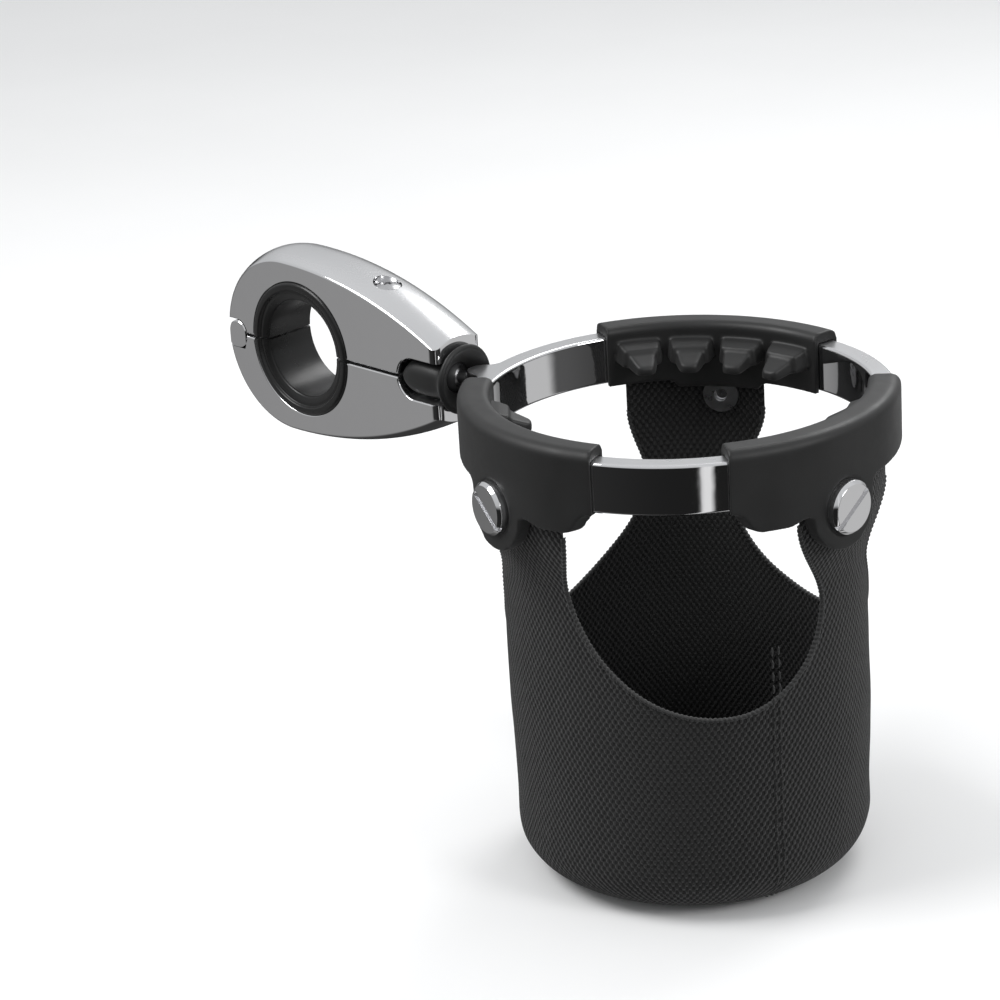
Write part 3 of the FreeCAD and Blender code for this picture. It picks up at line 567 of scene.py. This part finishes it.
def build_jaws(material):
    """Upper jaw with the screw's recess, and the lower jaw."""
    recess = make_mesh("recess", swept([[(SCREW_PLACE + x, y, z) for x, y in arc((0, 0), RECESS, 0, 355, 5.0)]
                                        for z in (SCREW_SEAT, CROWN_PEAK + 2)]))
    upper = with_modifiers(jaw_mesh("upper", 1), cut(recess))
    piece("upper_jaw_shell", upper, TO_CLAMP, "clamp", ["upper_jaw"], "chrome", material, 32)
    lower = jaw_mesh("lower", -1)
    piece("lower_jaw_shell", lower, TO_CLAMP, "lower_clamp", ["lower_jaw"], "chrome", material, 32)


def build_liners(material):
    """Two half sleeves with a rolled lip and a shallow groove round the bar."""
    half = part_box("upper_liner")[1].y/MM
    lip = [(LINER, half, 0.9), (LINER - 1.9, half, 0.5), (LINER - 2.3, half - 0.8, 0.3),
           (LINER - 3.1, half - 0.7, 0.4), (BAR, half - 1.3, 0.6)]
    profile = rounded(lip + [(radius, -across, bend) for radius, across, bend in reversed(lip)], 15)
    for name, body, up in (("upper_liner", "clamp", 1), ("lower_liner", "lower_clamp", -1)):
        start = math.degrees(math.asin(SPLIT/15))
        rows = [[(r*math.cos(math.radians(a)), y, up*r*math.sin(math.radians(a))) for r, y in profile]
                for a in spread(start, 180 - start, 3.0)]
        piece(name + "_sleeve", make_mesh(name, swept(rows)), TO_CLAMP, body, [name], "rubber", material, 45)


# ---------------------------------------------------------------- boot over the ball joint

def superellipse(x, half_y, half_z, power, count=72):
    """Ring of points across X, squarer as the power grows."""
    points = []
    for number in range(count):
        angle = 2*math.pi*number/count
        cosine, sine = math.cos(angle), math.sin(angle)
        points.append((x, half_y*math.copysign(abs(cosine)**(2/power), cosine),
                       half_z*math.copysign(abs(sine)**(2/power), sine)))
    return points


def build_boot(material):
    """Round-ended stem in the slot, a trumpet flange in front of the nose and a funnel round the arm."""
    low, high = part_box("socket_boot")
    start, front, rim = low.x/MM, high.x/MM, high.z/MM
    stem_y, stem_z = 7.7, 5.0
    ball = BALL.x/MM
    rows = []
    for angle in spread(6, 90, 12):
        lift = math.sin(math.radians(angle))
        rows.append(superellipse(start + stem_z*(1 - math.cos(math.radians(angle))),
                                 stem_y - 2.6*(1 - math.sqrt(lift)), stem_z*lift, 2.4 + 0.6*lift))
    for x, half_y, half_z, power in ((44.0, 7.75, 5.05, 3.0), (47.0, 7.6, 5.0, 2.9), (48.8, 7.3, 4.9, 2.6),
                                     (49.6, 7.5, 5.1, 2.4), (50.1, 7.9, 5.9, 2.2), (50.4, 8.2, 7.0, 2.1),
                                     (50.8, 8.5, 8.0, 2.0), (51.3, rim - 0.1, rim - 0.15, 2.0),
                                     (51.75, rim, rim, 2.0), (52.1, rim - 0.3, rim - 0.3, 2.0),
                                     (front, rim - 1.05, rim - 1.05, 2.0), (52.2, 7.6, 7.6, 2.0),
                                     (51.1, 6.15, 6.15, 2.0), (50.1, 4.85, 4.85, 2.0),
                                     (49.2, 3.65, 3.65, 2.0)):
        rows.append(superellipse(x, half_y, half_z, power))
    for angle in spread(60, 175, 20):
        rows.append(superellipse(ball + 4.35*math.cos(math.radians(angle)),
                                 4.35*math.sin(math.radians(angle)), 4.35*math.sin(math.radians(angle)), 2.0))
    mesh = with_modifiers(make_mesh("boot", swept(rows)), ("SUBSURF", {"levels": 1}))
    piece("boot_skin", mesh, TO_CLAMP, "clamp", ["socket_boot"], "rubber", material, 60)


# ---------------------------------------------------------------- cup ring

def ring_outline():
    """Outer edge of the ring's top: a circle with a short lug that flows into it, as points and normals."""
    nose = LUG_TIP - LUG_HALF
    reach = RING_OUTER + LUG_FILLET
    x = ((LUG_HALF + LUG_FILLET)**2 - reach**2 - nose**2)/(2*nose)
    y = math.sqrt(reach**2 - x*x)
    meet = math.degrees(math.atan2(y, x + nose))
    leave = math.degrees(math.atan2(-y, -x))
    half = arc((-nose, 0), LUG_HALF, 180, meet, 5.0)
    half += arc((x, y), LUG_FILLET, meet - 180, leave, 6.0)[1:]
    around = math.degrees(math.atan2(y, x))
    half += arc((0, 0), RING_OUTER, around, 0, 1.2)[1:]
    return half + [(px, -py) for px, py in reversed(half[1:-1])]


def build_ring(material):
    """Chrome band and its lug, as one piece."""
    edge = 0.75
    points = np.array(ring_outline())
    along = np.roll(points, -1, 0) - np.roll(points, 1, 0)
    along /= np.linalg.norm(along, axis=1)[:, None]
    outward = np.stack([-along[:, 1], along[:, 0]], axis=1)
    outward *= np.sign((outward*points).sum(1))[:, None]
    ray = points/np.linalg.norm(points, axis=1)[:, None]
    wall = ray*RING_OUTER
    stand = np.linalg.norm(points - wall, axis=1)[:, None]
    soft = np.minimum(stand*0.5, 0.6)
    turns = [math.pi/2*number/5 for number in range(6)]
    rows = [(points - outward*edge*(1 - math.sin(turn)), -edge*(1 - math.cos(turn))) for turn in turns]
    rows += [(points, z) for z in spread(-edge, -LUG_THICK + 0.6, 0.9)[1:-1]]
    rows += [(points - outward*soft*(1 - math.cos(turn)), -LUG_THICK + 0.6*(1 - math.sin(turn)))
             for turn in turns]
    under = np.minimum(stand*0.3, 0.9)
    rows += [(wall + ray*under*(1 - math.sin(turn)), -LUG_THICK - 0.02 - 0.9*(1 - math.cos(turn)))
             for turn in turns]
    bottom = -RING_HEIGHT
    rows += [(wall, z) for z in spread(-LUG_THICK - 1.0, bottom + edge, 1.0)[1:]]
    rows += [(wall - ray*edge*(1 - math.cos(turn)), bottom + edge*(1 - math.sin(turn))) for turn in turns[1:]]
    inner = ray*RING_INNER
    rows += [(inner + ray*edge*(1 - math.sin(turn)), bottom + edge*(1 - math.cos(turn))) for turn in turns]
    rows += [(inner, z) for z in spread(bottom + edge, -edge, 1.0)[1:]]
    rows += [(inner + ray*edge*(1 - math.cos(turn)), -edge*(1 - math.sin(turn))) for turn in turns[1:]]
    grid = [(x, y, z) for flat, z in rows for x, y in flat]
    faces = quads(len(rows), len(points), wrap_rows=True, wrap_columns=True)
    piece("ring_band", make_mesh("ring", (grid, faces)), TO_RING, "cup_carrier", ["cup_ring"], "chrome",
          material, 50)


# ---------------------------------------------------------------- rubber grips

def prism(outline, start, end):
    """Outline in Y and Z, pushed along X."""
    return make_mesh("prism", swept([[(x, y, z) for y, z in outline] for x in (start, end)]))


def grip_side_view(side):
    """What is left of the skirt: a deep round lobe and, towards the front gap, a shallow one."""
    lead = FRONT_SIDE[side]
    skirt, deep, wide = -12.6, -27.3, 60
    plain = [(-wide, skirt, 0), (-10.3, skirt, 2.6), (-10.1, deep, 10.0), (10.1, deep, 10.0)]
    if lead:
        plain += [(10.4, -16.6, 1.3), (13.0, -16.9, 2.0), (16.5, -18.0, 3.5), (24.4, -17.7, 3.0),
                  (27.4, skirt, 3.0)]
    else:
        plain += [(10.3, skirt, 2.6)]
    plain += [(wide, skirt, 0), (wide, 10, 0), (-wide, 10, 0)]
    if lead < 0:
        plain = [(-y, z, radius) for y, z, radius in reversed(plain)]
    return rounded(plain, 8.0)


def saddle_mesh(side):
    """Lip over the ring with an inner wall and an outer skirt."""
    low = -27.8
    profile = rounded([(45.0, -14.5, 0.5), (45.0, 2.8, 2.0), (52.95, 2.8, 2.6), (52.95, low, 0),
                       (49.6, low, 0), (49.6, -12.4, 0), (51.9, -12.4, 0),
                       (51.9, 0.05, 0.3), (46.4, 0.05, 0.3),
                       (46.4, -14.5, 0.3)], 10.0)
    centre = -FRONT_SIDE[side]*GRIP_SHIFT
    angles = spread(centre - GRIP_HALF[side], centre + GRIP_HALF[side], 1.0)
    return make_mesh("saddle", swept(turned(profile, angles)))


def fin(angle):
    """Flexible finger: wide at its root, stepped half way, sloping down to a rounded tip."""
    rows = []
    for reach, half, top, thick in ((46.2, 6.4, -1.0, 5.0), (43.0, 5.8, -1.6, 4.8), (40.7, 5.0, -2.4, 4.4),
                                    (40.3, 3.9, -3.4, 3.4), (37.6, 3.0, -4.6, 2.9), (35.9, 2.3, -5.3, 2.4),
                                    (35.3, 1.3, -5.8, 1.6)):
        section = rounded([(-half, top - thick, 0.5), (half, top - thick, 0.5), (half*0.86, top, 0.5),
                           (-half*0.86, top, 0.5)], 30.0)
        rows.append([(reach, y, z) for y, z in section])
    points, faces = swept(rows)
    turn = Matrix.Rotation(math.radians(angle), 3, "Z")
    return [tuple(turn @ Vector(point)) for point in points], faces


def build_grip(side, material):
    """Rubber moulding: cut to shape, joined with its fins and rounded all over as one skin."""
    seat = make_mesh("seat", swept([[(x, y, z - TAB_SCREW_DEPTH) for y, z in arc((0, 0), 7.15, 0, 354, 6.0)]
                                    for x in (SCREW_FACE_SEAT, 60)]))
    hole = make_mesh("hole", swept([[(x, y, z - TAB_SCREW_DEPTH) for y, z in arc((0, 0), 2.45, 0, 350, 10.0)]
                                    for x in (48, 60)]))
    shaped = with_modifiers(saddle_mesh(side), cut(prism(grip_side_view(side), 20, 70), "INTERSECT"),
                            cut(seat), cut(hole))
    shells = [([tuple(vertex.co) for vertex in shaped.vertices],
               [list(face.vertices) for face in shaped.polygons])]
    centre = -FRONT_SIDE[side]*GRIP_SHIFT
    shells += [fin(centre + 17*(number - 1.5)) for number in range(4)]
    skin = with_modifiers(make_mesh("grip", joined(*shells)),
                          ("REMESH", {"mode": "VOXEL", "voxel_size": 0.34, "adaptivity": 0.0}),
                          ("SMOOTH", {"factor": 0.5, "iterations": 7}))
    place = TO_RING @ Matrix.Rotation(math.radians(TABS[side]), 4, "Z")
    piece("grip_%s_skin" % side, skin, place, "cup_carrier", ["grip_" + side], "rubber", material, 180)


# ---------------------------------------------------------------- basket fastenings

def build_basket_screws(material):
    """Large chromed heads with a chamfered rim and one slot."""
    face = 2.7
    profile = rounded([(0.01, -4.6, 0), (1.7, -4.6, 0.2), (1.7, 0, 0), (SCREW_HEAD, 0, 0.15),
                       (SCREW_HEAD, 1.9, 0.25), (SCREW_HEAD - 0.75, face, 0.2), (0.01, face, 0)], 20.0)
    rows = [[(height, radius*math.cos(math.radians(a)), radius*math.sin(math.radians(a)))
             for radius, height in profile] for a in range(0, 360, 4)]
    points = [point for row in rows for point in row]
    head = (points, quads(len(rows), len(profile), wrap_rows=True, wrap_columns=True))
    shells = []
    for side, angle in TABS.items():
        tilt = math.radians(-35*(FRONT_SIDE[side] or 1))
        corners = ((-8, -0.65), (8, -0.65), (8, 0.65), (-8, 0.65))
        slot = make_mesh("slot", swept([[(x, y, z) for y, z in corners]
                                        for x in (face - 1.2, face + 1)]))
        slot.transform(Matrix.Rotation(tilt, 4, "X"))
        slotted = with_modifiers(make_mesh("head", head), cut(slot),
                                 ("BEVEL", {"width": 0.12, "segments": 2, "limit_method": "ANGLE",
                                            "angle_limit": math.radians(50)}))
        slotted.transform(Matrix.Rotation(math.radians(angle), 4, "Z")
                          @ Matrix.Translation((SCREW_FACE_SEAT, 0, -TAB_SCREW_DEPTH)))
        shells.append(([tuple(v.co) for v in slotted.vertices], [list(f.vertices) for f in slotted.polygons]))
    piece("basket_screw_set", make_mesh("screws", joined(*shells)), TO_RING, "cup_carrier", ["basket_screws"],
          "chrome", material, 25)


# ---------------------------------------------------------------- woven basket

def meridian():
    """Middle line of the cloth as (radius, height), from the floor's seam up to the tabs."""
    turn = CORNER - DEPTH
    line = arc((BASKET - CORNER, turn), CORNER - CLOTH/2, -90, 0, 4.0)
    line += [(BASKET - CLOTH/2, z) for z in spread(turn, -FLARE_LOW - 3, 1.5)[1:]]
    flare = spread(0, 1, 0.06)
    span = FLARE_LOW - FLARE_HIGH + 6
    line += [(BASKET - CLOTH/2 + (TAB_RADIUS - BASKET)*(3*t*t - 2*t**3), -FLARE_LOW - 3 + span*t)
             for t in flare[1:]]
    line += [(TAB_RADIUS - CLOTH/2, z) for z in spread(line[-1][1], -TAB_TOP, 1.5)[1:]]
    return line


def cloth_radius(height):
    """Radius of the cloth's middle line at a height above the rounded bottom."""
    t = min(max((height + FLARE_LOW + 3)/(FLARE_LOW - FLARE_HIGH + 6), 0), 1)
    return BASKET - CLOTH/2 + (TAB_RADIUS - BASKET)*(3*t*t - 2*t**3)


def scoop_outline(centre):
    """Open U between two tabs, across and up, from the left tab's top round to the right one's."""
    right = (TABS[SCOOPS[centre]] - centre + 180) % 360 - 180
    right_top = TAB_RADIUS*math.sin(math.radians(right - TAB_HALF))
    wide, tight = SCOOP_LEAN - SCOOP_WIDE, SCOOP_LEAN + SCOOP_TIGHT
    line = [(wide, z) for z in spread(-TAB_TOP, SCOOP_WIDE - SCOOP_BOTTOM, 1.5)]
    line += arc((SCOOP_LEAN, SCOOP_WIDE - SCOOP_BOTTOM), SCOOP_WIDE, 180, 270, 3.0)[1:]
    line += arc((SCOOP_LEAN, SCOOP_TIGHT - SCOOP_BOTTOM), SCOOP_TIGHT, -90, 0, 4.0)[1:]
    rise = SCOOP_BOTTOM - SCOOP_TIGHT - 20
    line += [(tight + (right_top - tight)*(3*t*t - 2*t**3), SCOOP_TIGHT - SCOOP_BOTTOM + rise*t)
             for t in spread(0, 1, 0.06)[1:]]
    line += [(right_top, z) for z in spread(-20, -TAB_TOP, 1.5)[1:]]
    return line


def on_cloth(centre, across, height):
    """Point on the cloth's middle line that a scoop's outline passes through."""
    radius = cloth_radius(height)
    angle = math.radians(centre) + math.asin(max(-1, min(1, across/radius)))
    return Vector((radius*math.cos(angle), radius*math.sin(angle), height))


def weave_coordinates(mesh):
    """UV in millimetres: round the basket, and down its wall and over its rounded bottom."""
    layer = mesh.uv_layers.new(name="weave")
    turn = CORNER - DEPTH
    for face in mesh.polygons:
        middle = math.atan2(face.center.y, face.center.x)
        for loop in face.loop_indices:
            point = mesh.vertices[mesh.loops[loop].vertex_index].co
            angle = math.atan2(point.y, point.x)
            angle = middle + (angle - middle + math.pi) % (2*math.pi) - math.pi
            down = -point.z
            if point.z < turn:
                bend = math.atan2(turn - point.z, math.hypot(point.x, point.y) - BASKET + CORNER)
                down = -turn + CORNER*bend
            layer.data[loop].uv = (angle*BASKET, down)


def slacken(mesh):
    """Small uneven waves, as in stiff cloth that hangs from three tabs."""
    for vertex in mesh.vertices:
        point = vertex.co
        sway = noise.noise(point*0.035 + Vector((3, 7, 1)))*0.9 + noise.noise(point*0.09)*0.35
        fade = min(1.0, max(0.0, (-point.z - 26)/20))*min(1.0, max(0.0, (point.z + DEPTH)/10))
        out = Vector((point.x, point.y, 0)).normalized()
        vertex.co = point + out*sway*0.7*fade


def build_basket(material, thread_material):
    """Wall cut from one woven tube, with an overlocked edge round its three scoops and tabs."""
    line = meridian()
    shell = np.array(line)
    along = np.gradient(shell, axis=0)
    along /= np.linalg.norm(along, axis=1)[:, None]
    outward = np.stack([along[:, 1], -along[:, 0]], axis=1)
    profile = np.vstack([shell + outward*CLOTH/2, (shell - outward*CLOTH/2)[::-1]]).tolist()
    rows = turned(profile, [360*number/300 for number in range(300)])
    points = [point for row in rows for point in row]
    tube = make_mesh("tube", (points, quads(len(rows), len(profile), wrap_rows=True, wrap_columns=True)))
    tools, hems = [], []
    for number, centre in enumerate(SCOOPS):
        outline = scoop_outline(centre)
        closed = [(across, height) for across, height in outline]
        closed = [(closed[0][0], 0.0)] + closed + [(closed[-1][0], 0.0)]
        tool = prism(closed, 10, 80)
        tool.transform(Matrix.Rotation(math.radians(centre), 4, "Z"))
        tools.append(cut(tool))
        hems.append([on_cloth(centre, across, height) for across, height in outline[6:-6]])
    wall = with_modifiers(tube, *tools)
    slacken(wall)
    weave_coordinates(wall)
    basket = piece("basket_cloth", wall, TO_RING, "cup_carrier", ["basket_wall"], "woven_fabric",
                   material, 60)
    hem = build_hem(hems, thread_material)


def build_hem(lines, material):
    """Overlock stitches: a thin roll of thread loops over the cut edge."""
    pitch, size = 1.15, 0.5
    shells = []
    for line in lines:
        path = resampled(line, pitch/6)
        rows = []
        for number, point in enumerate(path):
            ahead = path[min(number + 1, len(path) - 1)] - path[max(number - 1, 0)]
            ahead.normalize()
            out = Vector((point.x, point.y, 0)).normalized()
            side = ahead.cross(out).normalized()
            wave = 0.5 + 0.5*math.cos(2*math.pi*number/6)
            radius = size*(0.82 + 0.38*wave)
            row = []
            for step in range(10):
                angle = 2*math.pi*step/10
                lean = ahead*math.sin(angle)*0.25
                loop = side*math.sin(angle)*1.05 + out*math.cos(angle)*1.25
                row.append(tuple(point + loop*radius + lean))
            rows.append(row)
        shells.append(swept(rows))
    mesh = make_mesh("hem", joined(*shells))
    slacken(mesh)
    return piece("basket_hem", mesh, TO_RING, "cup_carrier", [], "woven_fabric", material, 70)


def resampled(points, step):
    """Points evenly spaced along a line of points."""
    gaps = [0.0]
    for before, after in zip(points, points[1:]):
        gaps.append(gaps[-1] + (after - before).length)
    places = spread(0, gaps[-1], step)
    columns = [np.interp(places, gaps, [point[axis] for point in points]) for axis in range(3)]
    return [Vector(values) for values in zip(*columns)]


def stitch_row(path, length=2.2, gap=1.0, thick=0.28):
    """Row of short sewn stitches along a path on the cloth's face, each dipping at both ends."""
    shells = []
    places = resampled(path, (length + gap)/2)
    for start, middle, end in zip(places[::2], places[1::2], places[2::2]):
        rows = []
        for t in spread(-1, 1, 0.34):
            at = middle + (end - start)*0.5*t*length/(length + gap)
            out = Vector((at.x, at.y, 0)).normalized()
            ahead = (end - start).normalized()
            side = ahead.cross(out)
            lift = thick*0.6*(1 - t*t) - thick*0.3
            ring = thick*math.sqrt(max(1 - (abs(t)**3)*0.85, 0.05))
            rows.append([tuple(at + out*(lift + ring*0.7*math.cos(a)) + side*ring*math.sin(a))
                         for a in (math.pi*k/4 for k in range(8))])
        shells.append(swept(rows))
    return shells


def build_stitching(material):
    """Two rows of stitches down the front seam. Their top ends start above the front scoop's edge."""
    shells = []
    skin = BASKET + 0.12
    for offset in (-38.6, -36.4):
        angle = math.radians(offset)
        path = [Vector((skin*math.cos(angle), skin*math.sin(angle), z))
                for z in spread(-50, CORNER - DEPTH, 3.0)]
        bend = [(BASKET - CORNER + (CORNER + 0.12)*math.cos(math.radians(a)),
                 CORNER - DEPTH - (CORNER + 0.12)*math.sin(math.radians(a))) for a in spread(8, 70, 8)]
        path += [Vector((r*math.cos(angle), r*math.sin(angle), z)) for r, z in bend]
        shells += stitch_row(path)
    mesh = make_mesh("stitches", joined(*shells))
    slacken(mesh)
    return piece("basket_stitching", mesh, TO_RING, "cup_carrier", [], "woven_fabric", material, 70)


def disc(name, radius, height, bulge, thick):
    """Round piece of cloth that sags a little in its middle."""
    rows = []
    for share in spread(0.02, 1, 0.05):
        rows.append([(radius*share*math.cos(a), radius*share*math.sin(a), height - bulge*(1 - share*share))
                     for a in (2*math.pi*k/96 for k in range(96))])
    points = [point for row in rows for point in row]
    faces = quads(len(rows), 96, wrap_columns=True) + [list(range(96))]
    mesh = with_modifiers(make_mesh(name, (points, faces)), ("SOLIDIFY", {"thickness": thick, "offset": 0.0}))
    layer = mesh.uv_layers.new(name="weave")
    for loop in mesh.loops:
        point = mesh.vertices[loop.vertex_index].co
        layer.data[loop.index].uv = (point.x, point.y)
    return mesh


def build_floor_cloth(material):
    """Floor of the basket, stretched in the wall's lower edge."""
    radius = (FLOOR_HIGH.x - FLOOR_LOW.x)/2/MM
    mesh = disc("floor_cloth", radius, CLOTH/2 - DEPTH, 0.0, CLOTH)
    item = piece("basket_bottom", mesh, TO_RING, "cup_carrier", ["basket_floor"], "woven_fabric",
                 material, 60)


# ---------------------------------------------------------------- assembly

SCENE.view_settings.view_transform = "Standard"
aim_camera()
light_studio()
lay_floor()

CHROME, STEEL, NYLON, THREAD = chrome(), steel(), nylon(), thread()
RUBBER = rubber("rubber", 0.008, 0.42, 0.55)
LINER_RUBBER = rubber("liner_rubber", 0.004, 0.25, 0.35)
CLOTH_WEAVE = woven("coarse_weave", 0.0048, 2*math.pi*BASKET/WEAVE_ACROSS, 2.3, 0.6)
TAPE_WEAVE = woven("tape_weave", 0.006, 0.9, 0.9, 0.15)

build_jaws(CHROME)
build_liners(LINER_RUBBER)
build_boot(RUBBER)
build_ring(CHROME)
for grip_side in TABS:
    build_grip(grip_side, RUBBER)
build_basket_screws(CHROME)
build_basket(CLOTH_WEAVE, THREAD)
build_stitching(THREAD)
build_floor_cloth(CLOTH_WEAVE)
for name in ("hinge_pin", "clamp_screw", "lock_washer", "ball_stud", "barrel_nuts", "tab_eyelets"):
    paint(name, STEEL)
paint("ball_seat", NYLON)
paint("floor_tape", TAPE_WEAVE)
